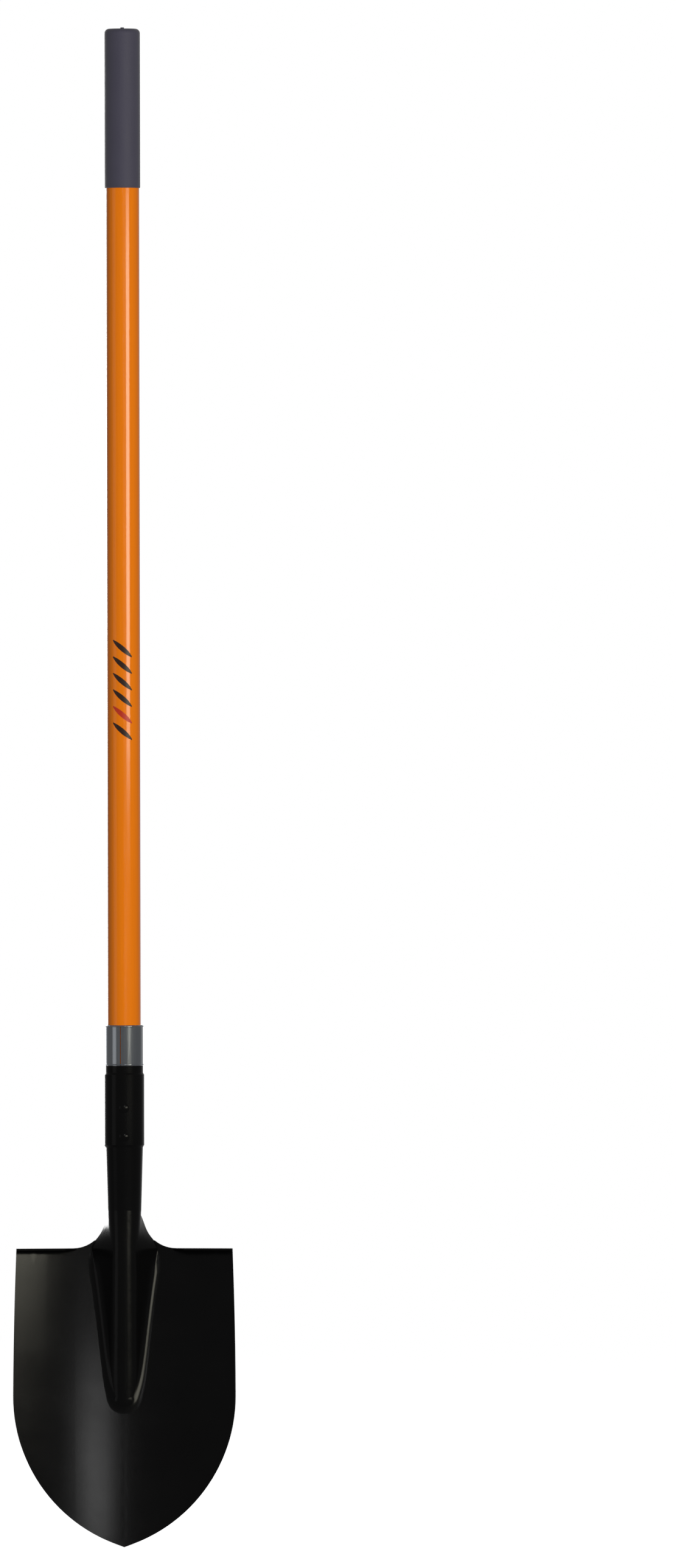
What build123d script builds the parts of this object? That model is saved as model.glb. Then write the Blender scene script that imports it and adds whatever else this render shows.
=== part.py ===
from build123d import *
from math import acos, atan2, cos, sin, sqrt
import os

os.makedirs("parts", exist_ok=True)

# Round point shovel, millimetres. +Z runs up the handle, -Y is the front (dished) side of the
# blade, and the origin is the middle of the grip. Heights named *_Z are above the blade's tip,
# and level() turns them into the frame. Widths named *_HALF are measured from the centre line.

# ---- overall -------------------------------------------------------------------------------
OVERALL_LENGTH = 1514.0
GRIP_LENGTH = 159.0
ORIGIN_Z = OVERALL_LENGTH - GRIP_LENGTH / 2

# ---- blade, cut from a dished sheet ---------------------------------------------------------
SHEET = 1.5
SHOULDER_Z = 296.0  # flat tops of the blade, where the foot presses
SHOULDER_HALF = 108.0
WAIST_Z = 150.0  # widest level of the blade
WAIST_HALF = 111.0
POINT_HALF = 9.3  # straight last part of the point
POINT_SLOPE = 0.37
FLARE_RADIUS = 33.2  # arcs from the shoulders up into the neck
FLARE_START_HALF = 51.5
FLARE_SWEEP = 40.0  # degrees
TOP_Y = 12.0  # blade centre line at the shoulders
LIFT = 0.20  # forward sweep of the blade below the shoulders
LIFT_CURVE = 0.000342
DISH_RADIUS = 380.0  # crosswise hollow of the blade
DISH_SWEEP = 18.5  # degrees to each side, a little wider than the blade
STRIP_LEVELS = (-8.0, 150.0, 322.0)  # ends and middle of the sheet before it is cut to shape
CUT_DEPTH = 150.0

# ---- frog: the raised rib down the middle of the blade --------------------------------------
FROG_START_Z = 144.0  # centre of the round nose
FROG_CREST_Y = -19.6
FROG_LEAN = 0.0704  # forward lean of the crest, from the shoulders down
FROG_HALVES = (14.0, 12.0, 8.0)  # half width at the nose, and what it gains towards the shoulders
FROG_CREST_RADII = (18.0, 15.0)
FROG_SUNK = (0.6, -0.6)  # the frog's foot lies inside the sheet, behind its centre line
FROG_STEPS = 6
HOLLOW_BACK_Y = 45.0

# ---- neck and rolled socket -----------------------------------------------------------------
# half width and depth of the sheet's rear edge, in even steps above the shoulders
NECK_EDGES = (
    (30.6, 13.2),
    (25.4, 13.4),
    (21.8, 13.6),
    (19.4, 13.8),
    (17.0, 12.8),
    (13.3, 11.7),
)
ROLL_Z = 334.0  # the sheet closes into a tube above here
THROAT_RADIUS = 16.85
SOCKET_TAPER = 0.0272
SEAT_Z = 397.0  # step where the socket widens over the ferrule
SEAT_STEP = 2.5
SOCKET_RADIUS = 19.95
MOUTH_Z = 478.5
MOUTH_RADIUS = 18.8
MOUTH_BAND = 7.0
MOUTH_STEP = 2.0
SEAM_GAP = 3.0  # rolled seam at the back
SEAM_OPEN_Z = 356.0
SEAM_OPEN_HALF = 13.5
SEAM_SPREAD = (0.4, -1.0)
SEAM_DEPTH = 40.0

# ---- treads ---------------------------------------------------------------------------------
TREAD_REACH = 14.0
TREAD_THICKNESS = 1.8
TREAD_REAR = (47.0, 77.0, 107.6)  # half widths along the rear edge, from the flare to the corner
TREAD_LIP = (107.6, 83.0, 59.0)  # and back along the turned lip
TREAD_OVERLAP = 1.0  # how far the tread's rear edge runs into the sheet

# ---- handle, core and ferrule ---------------------------------------------------------------
HANDLE_RADIUS = 16.6
HANDLE_WALL = 3.5
HANDLE_FOOT_Z = 380.0
HANDLE_TOP_Z = 1507.0
CORE_RADIUS = 13.0
CORE_FOOT_Z = 382.0
CORE_LENGTH = 165.0
CORE_CHAMFER = 1.5
FERRULE_BORE = 16.7
FERRULE_RADIUS = 18.75
FERRULE_TOP_Z = 519.0
FERRULE_NECK_RADIUS = 17.2
FERRULE_TAIL_RADIUS = 18.4
FERRULE_FOOT_Z = 401.0
FERRULE_EASE = 0.6
FERRULE_PLAY = 0.2
FERRULE_SEAM = 0.8
FERRULE_SEAM_TURN = 11.0  # degrees, towards the left of the front

# ---- grip -----------------------------------------------------------------------------------
GRIP_RADIUS = 17.7
GRIP_BORE = 16.65
GRIP_FOOT_Z = OVERALL_LENGTH - GRIP_LENGTH
GRIP_LIP = 0.5
GRIP_TOP_RADIUS = 13.9
GRIP_BEVEL_HEIGHT = 4.5
GRIP_PLAY = 0.1
NUB_RADIUS = 1.8
NUB_HEIGHT = 1.4

# ---- rivets ---------------------------------------------------------------------------------
RIVET_LEVELS = (407.5, 436.0)
RIVET_SHANK = 2.5
RIVET_HOLE = 2.6
RIVET_HOLE_LENGTH = 60.0
RIVET_HEAD = 5.0
RIVET_HEAD_HEIGHT = 1.7
RIVET_SHOULDER = 0.72  # where the dome bends over, as a share of its height
RIVET_SKIRT = 1.5
RIVET_PLAY = 0.02


def level(height):
    """Height above the tip, in the frame."""
    return height - ORIGIN_Z


def between(ends, share):
    return ends[0] + (ends[1] - ends[0]) * share


def rivet_holes():
    """Both rivet holes, front to back through the sub-part being built."""
    with Locations(*[Pos(0, 0, level(z)) for z in RIVET_LEVELS]):
        Cylinder(RIVET_HOLE, RIVET_HOLE_LENGTH, rotation=(90, 0, 0), mode=Mode.SUBTRACT)


# ---- surfaces of the head -------------------------------------------------------------------
def blade_centre(z):
    """Depth of the blade's centre line, without the frog."""
    drop = SHOULDER_Z - z
    return TOP_Y - LIFT * drop - LIFT_CURVE * drop * drop


def blade_profile(z, behind=0.0):
    """Point of the centre line in the YZ plane."""
    return (blade_centre(z) + behind, level(z))


def socket_radius(z):
    """Outside radius of the rolled socket below its seat."""
    return THROAT_RADIUS + SOCKET_TAPER * (z - ROLL_Z)


def frog_crest(z):
    """Depth of the frog's crest, which runs on into the front line of the socket."""
    if z > SHOULDER_Z:
        share = (z - SHOULDER_Z) / (ROLL_Z - SHOULDER_Z)
        return between((FROG_CREST_Y, -socket_radius(ROLL_Z)), share)
    return FROG_CREST_Y - FROG_LEAN * (SHOULDER_Z - z)


def frog_section(z, half, radius, foot_y, inset):
    """Level section of the frog: two straight flanks tangent to the crest. With an inset it is
    the section of the hollow behind it, open to the rear."""
    centre_y = frog_crest(z) + radius
    reach = sqrt(half**2 + (foot_y - centre_y) ** 2)
    turn = atan2(foot_y - centre_y, half) - acos(radius / reach)
    lean = (half - radius * cos(turn)) / (foot_y - centre_y - radius * sin(turn))
    inner = radius - inset
    top = (inner * cos(turn), centre_y + inner * sin(turn))
    foot = (top[0] + lean * (foot_y + inset - top[1]), foot_y + inset)
    with BuildSketch(Plane.XY.offset(level(z))) as section:
        with BuildLine():
            Line(foot, top)
            ThreePointArc(top, (0, centre_y - inner), (-top[0], top[1]))
            Line((-top[0], top[1]), (-foot[0], foot[1]))
            if inset:
                Polyline(
                    (-foot[0], foot[1]), (-foot[0], HOLLOW_BACK_Y), (foot[0], HOLLOW_BACK_Y), foot
                )
            else:
                Line((-foot[0], foot[1]), foot)
        make_face()
    return section.sketch.face()


def frog_station(share):
    """Height, half width, crest radius and foot depth between the nose and the shoulders."""
    z = between((FROG_START_Z, SHOULDER_Z), share)
    half = FROG_HALVES[0] + FROG_HALVES[1] * share + FROG_HALVES[2] * share**2
    foot_y = blade_centre(z) + between(FROG_SUNK, share)
    return (z, half, between(FROG_CREST_RADII, share), foot_y)


def neck_station(step):
    """The same between the shoulders and the throat."""
    share = step / len(NECK_EDGES)
    z = between((SHOULDER_Z, ROLL_Z), share)
    half, foot_y = NECK_EDGES[step - 1]
    return (z, half, between((FROG_CREST_RADII[1], socket_radius(ROLL_Z)), share), foot_y)


def tread_point(half, forward):
    """Point of the tread beside the dished top edge of the blade."""
    return (half, TOP_Y + TREAD_OVERLAP - half * half / (2 * DISH_RADIUS) - forward)


FROG = [frog_station(step / FROG_STEPS) for step in range(FROG_STEPS + 1)]
NECK = [FROG[-1]] + [neck_station(step) for step in range(1, len(NECK_EDGES) + 1)]
NOSE_CENTRE = (0, frog_crest(FROG_START_Z) + FROG_CREST_RADII[0], level(FROG_START_Z))

STRIP_FRONT = [blade_profile(z) for z in STRIP_LEVELS]
STRIP_BACK = [blade_profile(z, SHEET) for z in STRIP_LEVELS]
CHORD = (Vector(0, *STRIP_FRONT[2]) - Vector(0, *STRIP_FRONT[0])).normalized()
FORWARD = CHORD.cross(Vector(1, 0, 0)) * -1
DISH_AXIS = Axis(Vector(0, *STRIP_FRONT[1]) + FORWARD * DISH_RADIUS, CHORD)


# ---- nose of the frog: a shallow cap of a ball, in front of the sheet's middle ---------------
with BuildPart() as frog_nose:
    with Locations(NOSE_CENTRE):
        Sphere(FROG_CREST_RADII[0])
    split(
        bisect_by=Plane(origin=(0, *blade_profile(FROG_START_Z, SHEET / 2)), z_dir=FORWARD),
        keep=Keep.TOP,
    )


# ---- shovel head: blade, treads, frog and rolled socket in one sheet ------------------------
with BuildPart() as shovel_head:
    # dished sheet: a slightly hollow strip turned about an axis in front of the blade
    with BuildSketch(Plane.YZ):
        with BuildLine():
            front = ThreePointArc(*STRIP_FRONT)
            back = ThreePointArc(*STRIP_BACK)
            Line(front @ 1, back @ 1)
            Line(back @ 0, front @ 0)
        make_face()
    revolve(axis=DISH_AXIS, revolution_arc=DISH_SWEEP)
    mirror(about=Plane.YZ)
    # round point, straight sides, flat shoulders and the flares into the neck
    with BuildSketch(Plane.XZ):
        with BuildLine():
            point = Line((0, level(0)), (POINT_HALF, level(POINT_HALF * POINT_SLOPE)))
            side = TangentArc(point @ 1, (WAIST_HALF, level(WAIST_Z)), tangent=point % 1)
            edge = TangentArc(side @ 1, (SHOULDER_HALF, level(SHOULDER_Z)), tangent=side % 1)
            shoulder = Line(edge @ 1, (FLARE_START_HALF, level(SHOULDER_Z)))
            flare = JernArc(shoulder @ 1, (-1, 0), FLARE_RADIUS, -FLARE_SWEEP)
            Polyline(flare @ 1, (0, (flare @ 1).Y), (0, level(0)))
        make_face()
        mirror(about=Plane.YZ)
    extrude(amount=CUT_DEPTH, both=True, mode=Mode.INTERSECT)
    # frog and neck, then the hollow behind them
    add(frog_nose.part)
    for stations in (FROG, NECK):
        loft([frog_section(*station, 0.0) for station in stations])
    with Locations(NOSE_CENTRE):
        Sphere(FROG_CREST_RADII[0] - SHEET, mode=Mode.SUBTRACT)
    for stations in (FROG, NECK):
        loft([frog_section(*station, SHEET) for station in stations], mode=Mode.SUBTRACT)
    # treads: the shoulders' top edges turned forward for the foot
    with BuildSketch(Plane.XY.offset(level(SHOULDER_Z))):
        with BuildLine():
            rear = ThreePointArc(*[tread_point(half, 0) for half in TREAD_REAR])
            lip = ThreePointArc(*[tread_point(half, TREAD_REACH) for half in TREAD_LIP])
            Line(rear @ 1, lip @ 0)
            Line(lip @ 1, rear @ 0)
        make_face()
        mirror(about=Plane.YZ)
    extrude(amount=-TREAD_THICKNESS)
    # socket: tapered tube, stepped out over the ferrule and drawn in again at the mouth
    with BuildSketch(Plane.XZ):
        with BuildLine():
            Polyline(
                (socket_radius(ROLL_Z), level(ROLL_Z)),
                (socket_radius(SEAT_Z), level(SEAT_Z)),
                (SOCKET_RADIUS, level(SEAT_Z + SEAT_STEP)),
                (SOCKET_RADIUS, level(MOUTH_Z - MOUTH_BAND - MOUTH_STEP)),
                (MOUTH_RADIUS, level(MOUTH_Z - MOUTH_BAND)),
                (MOUTH_RADIUS, level(MOUTH_Z)),
                (MOUTH_RADIUS - SHEET, level(MOUTH_Z)),
                (MOUTH_RADIUS - SHEET, level(MOUTH_Z - MOUTH_BAND)),
                (SOCKET_RADIUS - SHEET, level(MOUTH_Z - MOUTH_BAND - MOUTH_STEP)),
                (SOCKET_RADIUS - SHEET, level(SEAT_Z + SEAT_STEP)),
                (socket_radius(SEAT_Z) - SHEET, level(SEAT_Z)),
                (socket_radius(ROLL_Z) - SHEET, level(ROLL_Z)),
                close=True,
            )
        make_face()
    revolve(axis=Axis.Z)
    # the rolled seam at the back, opening into the hollow of the frog
    with BuildSketch(Plane.XZ):
        with BuildLine():
            seam = Polyline(
                (0, level(MOUTH_Z + 1)),
                (SEAM_GAP / 2, level(MOUTH_Z + 1)),
                (SEAM_GAP / 2, level(SEAM_OPEN_Z)),
            )
            spread = Spline(
                seam @ 1, (SEAM_OPEN_HALF, level(ROLL_Z)), tangents=[(0, -1), SEAM_SPREAD]
            )
            Polyline(
                spread @ 1,
                (SEAM_OPEN_HALF, level(ROLL_Z - 1)),
                (0, level(ROLL_Z - 1)),
                (0, level(MOUTH_Z + 1)),
            )
        make_face()
        mirror(about=Plane.YZ)
    extrude(amount=-SEAM_DEPTH, mode=Mode.SUBTRACT)
    rivet_holes()
shovel_head.part.label = "shovel_head"
export_step(shovel_head.part, "parts/shovel_head.step")


# ---- ferrule: steel sleeve on the handle, held by the drawn-in mouth of the socket ----------
with BuildPart() as ferrule:
    with BuildSketch(Plane.XZ):
        with BuildLine():
            Polyline(
                (FERRULE_BORE, level(FERRULE_FOOT_Z)),
                (FERRULE_BORE, level(FERRULE_TOP_Z)),
                (FERRULE_RADIUS - FERRULE_EASE, level(FERRULE_TOP_Z)),
                (FERRULE_RADIUS, level(FERRULE_TOP_Z - FERRULE_EASE)),
                (FERRULE_RADIUS, level(MOUTH_Z + FERRULE_PLAY)),
                (FERRULE_NECK_RADIUS, level(MOUTH_Z + FERRULE_PLAY)),
                (FERRULE_NECK_RADIUS, level(MOUTH_Z - MOUTH_BAND - FERRULE_EASE)),
                (FERRULE_TAIL_RADIUS, level(MOUTH_Z - MOUTH_BAND - FERRULE_EASE - MOUTH_STEP)),
                (FERRULE_TAIL_RADIUS, level(FERRULE_FOOT_Z)),
                close=True,
            )
        make_face()
    revolve(axis=Axis.Z)
    with Locations(Location((0, 0, level(FERRULE_FOOT_Z)), (0, 0, -FERRULE_SEAM_TURN))):
        Box(
            FERRULE_SEAM,
            FERRULE_RADIUS + 1,
            FERRULE_TOP_Z - FERRULE_FOOT_Z + 1,
            align=(Align.CENTER, Align.MAX, Align.MIN),
            mode=Mode.SUBTRACT,
        )
    rivet_holes()
ferrule.part.label = "ferrule"
export_step(ferrule.part, "parts/ferrule.step")


# ---- handle: hollow fibreglass tube ----------------------------------------------------------
with BuildPart() as handle_tube:
    with BuildSketch(Plane.XY.offset(level(HANDLE_FOOT_Z))):
        Circle(HANDLE_RADIUS)
        Circle(HANDLE_RADIUS - HANDLE_WALL, mode=Mode.SUBTRACT)
    extrude(amount=HANDLE_TOP_Z - HANDLE_FOOT_Z)
    rivet_holes()
handle_tube.part.label = "handle_tube"
export_step(handle_tube.part, "parts/handle_tube.step")


# ---- core: dowel that keeps the tube from crushing under the rivets --------------------------
with BuildPart() as handle_core:
    with BuildSketch(Plane.XY.offset(level(CORE_FOOT_Z))):
        Circle(CORE_RADIUS)
    extrude(amount=CORE_LENGTH)
    chamfer(handle_core.edges().filter_by(GeomType.CIRCLE), CORE_CHAMFER)
    rivet_holes()
handle_core.part.label = "handle_core"
export_step(handle_core.part, "parts/handle_core.step")


# ---- grip: closed vinyl sleeve with a bevelled top and a small moulding nub ------------------
with BuildPart() as grip_sleeve:
    with BuildSketch(Plane.XZ):
        with BuildLine():
            wall = Polyline(
                (GRIP_BORE, level(GRIP_FOOT_Z)),
                (GRIP_RADIUS - GRIP_LIP, level(GRIP_FOOT_Z)),
                (GRIP_RADIUS, level(GRIP_FOOT_Z + GRIP_LIP)),
                (GRIP_RADIUS, level(OVERALL_LENGTH - GRIP_BEVEL_HEIGHT)),
            )
            bevel = TangentArc(wall @ 1, (GRIP_TOP_RADIUS, level(OVERALL_LENGTH)), tangent=(0, 1))
            Polyline(
                bevel @ 1,
                (NUB_RADIUS, level(OVERALL_LENGTH)),
                (NUB_RADIUS, level(OVERALL_LENGTH + NUB_HEIGHT)),
                (0, level(OVERALL_LENGTH + NUB_HEIGHT)),
                (0, level(HANDLE_TOP_Z + GRIP_PLAY)),
                (GRIP_BORE, level(HANDLE_TOP_Z + GRIP_PLAY)),
                wall @ 0,
            )
        make_face()
    revolve(axis=Axis.Z)
grip_sleeve.part.label = "grip_sleeve"
export_step(grip_sleeve.part, "parts/grip_sleeve.step")


# ---- rivets: two, front to back through socket, ferrule, handle and core ---------------------
with BuildPart() as rivet:
    with BuildSketch(Plane.YZ):
        with BuildLine():
            dome = ThreePointArc(
                (-SOCKET_RADIUS - RIVET_HEAD_HEIGHT, 0),
                (-SOCKET_RADIUS - RIVET_HEAD_HEIGHT * RIVET_SHOULDER, RIVET_HEAD / 2),
                (-SOCKET_RADIUS, RIVET_HEAD),
            )
            Polyline(
                dome @ 1,
                (-SOCKET_RADIUS + RIVET_SKIRT, RIVET_HEAD),
                (-SOCKET_RADIUS + RIVET_SKIRT, 0),
                dome @ 0,
            )
        make_face()
    revolve(axis=Axis.Y)
    mirror(about=Plane.XZ)
    Cylinder(SOCKET_RADIUS + RIVET_PLAY, 4 * RIVET_HEAD, mode=Mode.SUBTRACT)
    Cylinder(RIVET_SHANK, 2 * SOCKET_RADIUS + RIVET_SKIRT, rotation=(90, 0, 0))
with BuildPart() as rivets:
    with Locations(*[Pos(0, 0, level(z)) for z in RIVET_LEVELS]):
        add(rivet.part)
rivets.part.label = "rivets"
export_step(rivets.part, "parts/rivets.step")
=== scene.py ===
import math

import bmesh
import bpy
import numpy as np
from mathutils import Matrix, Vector
from mathutils.bvhtree import BVHTree


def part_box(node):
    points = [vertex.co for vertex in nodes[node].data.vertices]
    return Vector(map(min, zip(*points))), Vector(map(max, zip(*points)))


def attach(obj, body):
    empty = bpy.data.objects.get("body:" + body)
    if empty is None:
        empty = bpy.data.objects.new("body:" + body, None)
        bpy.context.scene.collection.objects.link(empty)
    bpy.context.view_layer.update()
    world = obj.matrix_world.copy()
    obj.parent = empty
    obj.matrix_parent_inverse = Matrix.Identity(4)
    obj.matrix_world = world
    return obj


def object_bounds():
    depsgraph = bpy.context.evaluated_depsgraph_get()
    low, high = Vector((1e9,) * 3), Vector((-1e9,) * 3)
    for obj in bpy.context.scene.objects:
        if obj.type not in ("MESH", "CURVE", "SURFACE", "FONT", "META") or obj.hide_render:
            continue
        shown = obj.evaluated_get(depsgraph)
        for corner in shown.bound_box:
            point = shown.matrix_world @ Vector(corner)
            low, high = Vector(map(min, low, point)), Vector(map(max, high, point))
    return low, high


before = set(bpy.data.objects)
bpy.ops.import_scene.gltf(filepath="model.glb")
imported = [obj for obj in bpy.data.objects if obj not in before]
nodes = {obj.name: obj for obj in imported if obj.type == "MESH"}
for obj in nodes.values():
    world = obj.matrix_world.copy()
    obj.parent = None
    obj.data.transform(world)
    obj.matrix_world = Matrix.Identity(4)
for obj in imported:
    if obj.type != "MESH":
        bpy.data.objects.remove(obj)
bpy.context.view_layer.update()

# Round point shovel, metres. -Y is the front, +Z runs up the handle's axis.


# ---- node materials ------------------------------------------------------------------------
class Mat:
    """A small helper round one procedural material."""

    def __init__(self, name, **values):
        self.material = bpy.data.materials.new(name)
        self.material.use_nodes = True
        self.tree = self.material.node_tree
        self.shader = self.tree.nodes["Principled BSDF"]
        for key, value in values.items():
            self.set(key, value)

    def set(self, key, value):
        self.shader.inputs[key.replace("_", " ")].default_value = value

    def node(self, kind, **values):
        node = self.tree.nodes.new(kind)
        for key, value in values.items():
            if hasattr(node, key):
                setattr(node, key, value)
            else:
                node.inputs[key.replace("_", " ")].default_value = value
        return node

    def link(self, source, target):
        self.tree.links.new(source, target)

    def place(self, scale=(1, 1, 1)):
        """Object coordinates, stretched."""
        coords = self.node("ShaderNodeTexCoord")
        mapping = self.node("ShaderNodeMapping")
        mapping.inputs["Scale"].default_value = scale
        self.link(coords.outputs["Object"], mapping.inputs["Vector"])
        return mapping.outputs["Vector"]

    def noise(self, where, scale, detail=4.0, rough=0.5):
        noise = self.node("ShaderNodeTexNoise", Scale=scale, Detail=detail, Roughness=rough)
        self.link(where, noise.inputs["Vector"])
        return noise.outputs["Fac"]

    def ramp(self, value, low, high, low_out, high_out):
        """value between low and high, turned into low_out to high_out."""
        ramp = self.node("ShaderNodeMapRange")
        for key, number in (
            ("From Min", low), ("From Max", high), ("To Min", low_out), ("To Max", high_out),
        ):
            ramp.inputs[key].default_value = number
        self.link(value, ramp.inputs["Value"])
        return ramp.outputs["Result"]

    def mix(self, factor, first, second):
        mix = self.node("ShaderNodeMix", data_type="RGBA")
        mix.inputs["A"].default_value = (*first, 1)
        mix.inputs["B"].default_value = (*second, 1)
        self.link(factor, mix.inputs["Factor"])
        return mix.outputs["Result"]

    def tint(self, factor, first, second):
        """Base colour between two tones."""
        self.link(self.mix(factor, first, second), self.shader.inputs["Base Color"])

    def bump(self, height, strength, distance):
        bump = self.node("ShaderNodeBump", Strength=strength, Distance=distance)
        self.link(height, bump.inputs["Height"])
        self.link(bump.outputs["Normal"], self.shader.inputs["Normal"])


def black_paint():
    mat = Mat("black_paint", Specular_IOR_Level=0.18)
    where = mat.place()
    cloud = mat.noise(where, 22.0)
    mat.tint(cloud, (0.0020, 0.0020, 0.0021), (0.0032, 0.0032, 0.0033))
    mat.link(mat.ramp(cloud, 0.3, 0.7, 0.17, 0.21), mat.shader.inputs["Roughness"])
    mat.bump(mat.noise(where, 900.0, 2.0), 0.10, 0.0002)
    return mat.material


def zinc():
    mat = Mat("zinc_steel", Metallic=1.0)
    streaks = mat.noise(mat.place((60, 60, 2.5)), 6.0, 5.0)
    mat.tint(streaks, (0.44, 0.47, 0.51), (0.58, 0.61, 0.65))
    mat.link(mat.ramp(streaks, 0.3, 0.7, 0.13, 0.20), mat.shader.inputs["Roughness"])
    mat.bump(mat.noise(mat.place((260, 260, 8)), 4.0, 3.0), 0.05, 0.0002)
    return mat.material


def orange_resin():
    mat = Mat("orange_fibreglass", Roughness=0.12, Specular_IOR_Level=0.52)
    fibres = mat.noise(mat.place((300, 300, 5)), 3.0, 5.0)
    mat.tint(fibres, (0.79, 0.180, 0.0006), (0.89, 0.218, 0.0014))
    mat.bump(fibres, 0.03, 0.0002)
    return mat.material


def grey_vinyl():
    mat = Mat("grey_vinyl", Specular_IOR_Level=0.35, Sheen_Weight=0.2, Sheen_Roughness=0.5)
    where = mat.place()
    cloud = mat.noise(where, 30.0)
    mat.tint(cloud, (0.054, 0.051, 0.076), (0.067, 0.063, 0.092))
    mat.link(mat.ramp(cloud, 0.3, 0.7, 0.52, 0.62), mat.shader.inputs["Roughness"])
    mat.bump(mat.noise(where, 1400.0, 2.0), 0.18, 0.0002)
    return mat.material


def dowel_wood():
    mat = Mat("core_wood", Roughness=0.6)
    grain = mat.noise(mat.place((90, 90, 4)), 3.0, 6.0)
    mat.tint(grain, (0.36, 0.22, 0.11), (0.62, 0.44, 0.25))
    mat.bump(grain, 0.2, 0.0003)
    return mat.material


def dress(name, material):
    nodes[name].data.materials.clear()
    nodes[name].data.materials.append(material)


PAINT = black_paint()
dress("shovel_head", PAINT)
dress("rivets", PAINT)
dress("ferrule", zinc())
dress("handle_tube", orange_resin())
dress("handle_core", dowel_wood())
dress("grip_sleeve", grey_vinyl())


# ---- pieces: how they are made -------------------------------------------------------------
def place_mesh(name, corners, faces, material, smooth=True):
    mesh = bpy.data.meshes.new(name)
    made = bmesh.new()
    points = [made.verts.new(corner) for corner in corners]
    for face in faces:
        made.faces.new([points[number] for number in face])
    bmesh.ops.delete(made, geom=[v for v in made.verts if not v.link_faces], context="VERTS")
    for face in made.faces:
        face.smooth = smooth
    made.to_mesh(mesh)
    made.free()
    thing = bpy.data.objects.new(name, mesh)
    mesh.materials.append(material)
    bpy.context.collection.objects.link(thing)
    return thing


def softened(relief, reach):
    """The relief averaged over reach cells to each side, twice, in both directions."""
    window = np.ones(2 * reach + 1) / (2 * reach + 1)
    for axis in (0, 1):
        for _ in range(2):
            pads = [(0, 0), (0, 0)]
            pads[axis] = (reach, reach)
            wide = np.pad(relief, pads, mode="reflect", reflect_type="odd")
            relief = np.apply_along_axis(np.convolve, axis, wide, window, "valid")
    return relief


# the skin's grid, how many cells it is softened over, how far it sinks, and its fade at the top
SKIN_CELL = 0.001
SKIN_REACH = 4
SKIN_SINK = 0.00008
SKIN_FADE = 0.02


def corner_skin(name, source, half, heights):
    """Where the front of a node turns in at a plain corner, a skin with that bend softened."""
    tree = BVHTree.FromPolygons(
        [v.co for v in source.data.vertices], [p.vertices for p in source.data.polygons]
    )
    across = np.arange(-half, half + SKIN_CELL / 2, SKIN_CELL)
    upward = np.arange(heights[0], heights[1] + SKIN_CELL / 2, SKIN_CELL)
    relief = np.array([
        [tree.ray_cast(Vector((x, -1, z)), Vector((0, 1, 0)))[0].y for x in across] for z in upward
    ])
    fade = np.clip((heights[1] - upward) / SKIN_FADE, 0, 1)[:, None]
    skin = relief + (softened(relief, SKIN_REACH) - relief) * fade + SKIN_SINK
    corners = [(x, skin[i, j], z) for i, z in enumerate(upward) for j, x in enumerate(across)]
    wide = len(across)
    shown = skin < relief + SKIN_SINK / 2
    faces = [
        (i * wide + j, i * wide + j + 1, (i + 1) * wide + j + 1, (i + 1) * wide + j)
        for i in range(len(upward) - 1)
        for j in range(wide - 1)
        if shown[i:i + 2, j:j + 2].any()
    ]
    return place_mesh(name, corners, faces, PAINT)


def ring(name, radius, z, thick, material, sides=96, around=10):
    """A thin bead round the handle's axis."""
    corners = []
    for i in range(sides):
        turn = 2 * math.pi * i / sides
        for j in range(around):
            roll = 2 * math.pi * j / around
            far = radius + thick * math.cos(roll)
            corners.append((far * math.cos(turn), far * math.sin(turn), z + thick * math.sin(roll)))
    faces = [
        (
            i * around + j,
            (i + 1) % sides * around + j,
            (i + 1) % sides * around + (j + 1) % around,
            i * around + (j + 1) % around,
        )
        for i in range(sides)
        for j in range(around)
    ]
    return place_mesh(name, corners, faces, material)


INK_LIFT = 0.00004
TUBE_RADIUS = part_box("handle_tube")[1].x + INK_LIFT
STROKE_BLUNT = 0.02
STROKE_TAPER = 0.6


def stroke(name, start, end, width, material, cells=24, across=4):
    """A tapered stroke between two points, given along the tube's skin and along its axis."""
    corners = []
    lean = Vector(end) - Vector(start)
    side = Vector((-lean.y, lean.x)).normalized()
    for i in range(cells + 1):
        share = i / cells
        blunt = min(max(share, STROKE_BLUNT), 1 - STROKE_BLUNT)
        swell = width * math.sin(math.pi * blunt) ** STROKE_TAPER
        for j in range(across + 1):
            spot = Vector(start) + lean * share + side * swell * (j / across - 0.5)
            turn = spot.x / TUBE_RADIUS
            corners.append((TUBE_RADIUS * math.sin(turn), -TUBE_RADIUS * math.cos(turn), spot.y))
    row = across + 1
    faces = [
        (i * row + j, i * row + j + 1, (i + 1) * row + j + 1, (i + 1) * row + j)
        for i in range(cells)
        for j in range(across)
    ]
    return place_mesh(name, corners, faces, material)


def print_ink(name, dark, light):
    mat = Mat(name, Roughness=0.35)
    mat.tint(mat.noise(mat.place(), 700.0), dark, light)
    return mat.material


# ---- pieces: where they go -----------------------------------------------------------------
# the soft bend where the frog meets the blade
head_low, head_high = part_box("shovel_head")
TIP = head_low.z
FROG_HALF = 0.052
FROG_HEIGHTS = (TIP + 0.116, TIP + 0.293)
fillet = corner_skin("frog_fillet", nodes["shovel_head"], FROG_HALF, FROG_HEIGHTS)
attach(fillet, "root")

# the rolled edges of the ferrule
STEEL = nodes["ferrule"].data.materials[0]
ferrule_low, ferrule_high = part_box("ferrule")
FERRULE_RADIUS = ferrule_high.x
BEAD_INSET = 0.0012
BEAD_THICK = 0.0007
BEAD_SUNK = 0.0001
BEADS = {
    "ferrule_lower_bead": head_high.z + BEAD_INSET,
    "ferrule_upper_bead": ferrule_high.z - BEAD_INSET,
}
for name, z in BEADS.items():
    bead = ring(name, FERRULE_RADIUS - BEAD_SUNK, z, BEAD_THICK, STEEL)
    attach(bead, "root")

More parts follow.
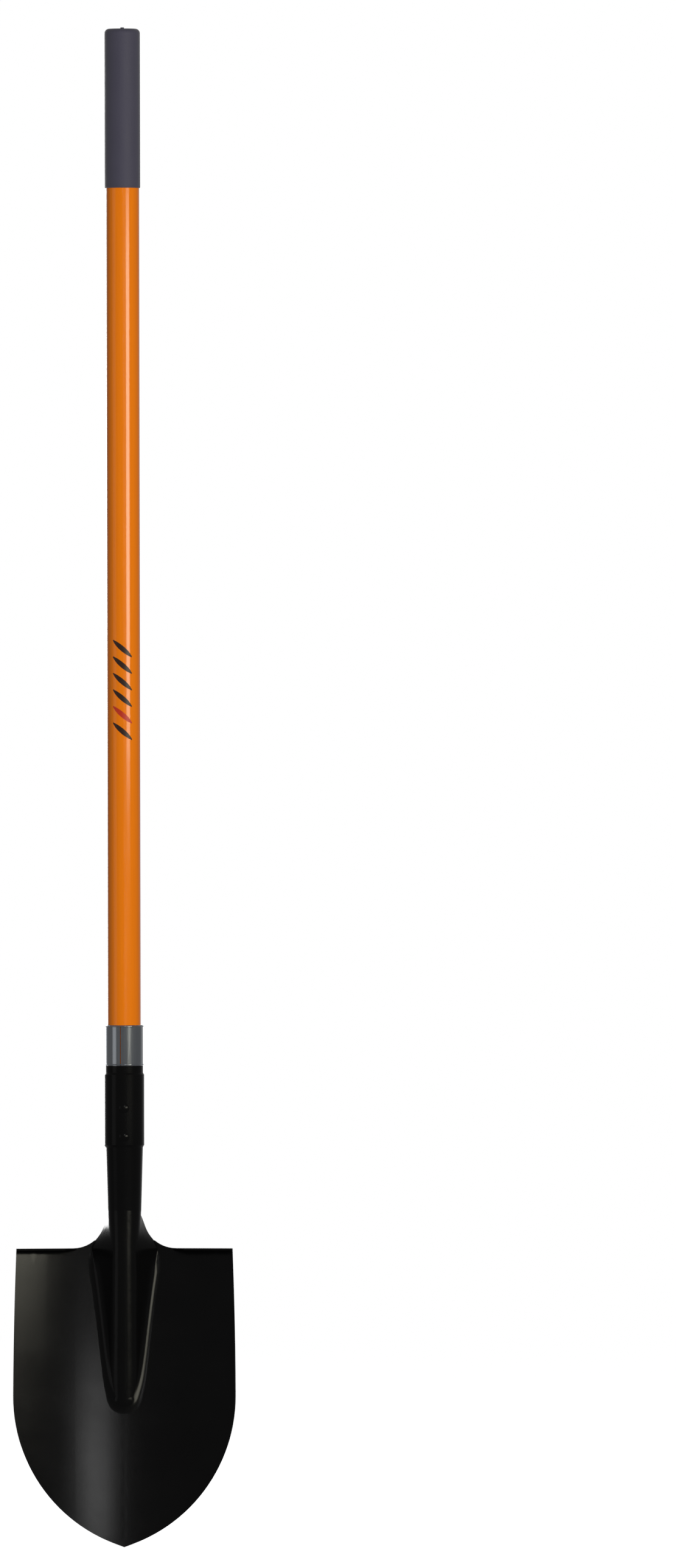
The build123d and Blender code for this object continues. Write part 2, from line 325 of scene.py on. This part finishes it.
# a plain hatched mark printed on the front of the handle
DARK_INK = print_ink("dark_ink", (0.012, 0.007, 0.006), (0.045, 0.020, 0.012))
RED_INK = print_ink("red_ink", (0.42, 0.022, 0.010), (0.56, 0.045, 0.016))
MARK_STROKES = 6
MARK_TOP = -0.531
MARK_PITCH = 0.0165
MARK_DROP = 0.017
MARK_LEFT = -0.011
MARK_RIGHT = 0.009
MARK_WIDTH = 0.0050
RED_STROKE = 5
for number in range(1, MARK_STROKES + 1):
    top = MARK_TOP - (number - 1) * MARK_PITCH
    ink = RED_INK if number == RED_STROKE else DARK_INK
    line = stroke(f"mark_{number}", (MARK_LEFT, top), (MARK_RIGHT, top - MARK_DROP), MARK_WIDTH, ink)
    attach(line, "root")

# ---- floor, light and camera ---------------------------------------------------------------
FLOOR_HALF = 9.0
floor_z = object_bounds()[0].z
pale = Mat("pale_floor", Roughness=0.9, Specular_IOR_Level=0.0, Emission_Strength=0.85)
pale.set("Base Color", (0.95, 0.95, 0.95, 1))
pale.set("Emission Color", (1, 1, 1, 1))
floor = place_mesh(
    "floor",
    [
        (-FLOOR_HALF, -FLOOR_HALF, floor_z),
        (FLOOR_HALF, -FLOOR_HALF, floor_z),
        (FLOOR_HALF, FLOOR_HALF, floor_z),
        (-FLOOR_HALF, FLOOR_HALF, floor_z),
    ],
    [(0, 1, 2, 3)],
    pale.material,
    smooth=False,
)
floor.visible_glossy = False
floor.visible_diffuse = False

# a white backdrop wherever it is seen directly; as light it is a dim room, brighter behind
ROOM = {"From Min": 0.45, "From Max": 0.9, "To Min": 0.13, "To Max": 0.32}
world = bpy.data.worlds.new("studio")
bpy.context.scene.world = world
world.use_nodes = True
sky = world.node_tree
coords = sky.nodes.new("ShaderNodeTexCoord")
split = sky.nodes.new("ShaderNodeSeparateXYZ")
fade = sky.nodes.new("ShaderNodeMapRange")
fade.interpolation_type = "SMOOTHSTEP"
for socket, value in ROOM.items():
    fade.inputs[socket].default_value = value
sky.links.new(coords.outputs["Generated"], split.inputs["Vector"])
sky.links.new(split.outputs["Y"], fade.inputs["Value"])
sky.nodes["Background"].inputs["Color"].default_value = (1, 1, 1, 1)
seen = sky.nodes.new("ShaderNodeLightPath")
brightest = sky.nodes.new("ShaderNodeMath")
brightest.operation = "MAXIMUM"
sky.links.new(fade.outputs["Result"], brightest.inputs[0])
sky.links.new(seen.outputs["Is Camera Ray"], brightest.inputs[1])
sky.links.new(brightest.outputs["Value"], sky.nodes["Background"].inputs["Strength"])


def softbox(name, azimuth, distance, heights, width, radiance, lean=0.0, tint=(1, 1, 1)):
    """An upright panel round the handle's axis. Azimuth 0 is in front, and + is to the right."""
    turn = math.radians(azimuth)
    tall = heights[1] - heights[0]
    lamp = bpy.data.lights.new(name, "AREA")
    lamp.shape = "RECTANGLE"
    lamp.size, lamp.size_y = width, tall
    lamp.energy = radiance * math.pi * width * tall
    lamp.color = tint
    thing = bpy.data.objects.new(name, lamp)
    thing.location = (
        distance * math.sin(turn), -distance * math.cos(turn), (heights[0] + heights[1]) / 2,
    )
    thing.rotation_euler = (math.radians(90 - lean), 0, turn)
    thing.visible_camera = False
    bpy.context.collection.objects.link(thing)
    return thing


softbox("strip_right", 35, 2.7, (-0.645, -0.03), 1.1, 7.2, tint=(1, 0.97, 0.80))
softbox("front_top", 9, 3.0, (0.52, 1.18), 0.5, 5.9, lean=30)
softbox("left_fill", -62, 3.0, (-1.2, 0.3), 1.3, 0.3)
key_light = softbox("key", 12, 4.0, (-1.4, 0.8), 1.6, 8.5)
key_light.visible_glossy = False
softbox("back_key", 200, 3.6, (-1.4, 0.8), 1.4, 4.0)

HEIGHT_SEEN = 1.566
DISTANCE = 24.0
ROLL = 0.11  # degrees
SIDE_STEP = 0.2142  # the shovel stands in the left of the picture
EYE_Z = -0.6751
camera = bpy.data.objects.new("camera", bpy.data.cameras.new("camera"))
camera.data.sensor_width = 36.0
camera.data.lens = 36.0 * DISTANCE / HEIGHT_SEEN
camera.location = (SIDE_STEP, -DISTANCE, EYE_Z)
camera.rotation_euler = (math.radians(90), math.radians(ROLL), 0)
bpy.context.collection.objects.link(camera)
bpy.context.scene.camera = camera
bpy.context.scene.view_settings.view_transform = "Standard"
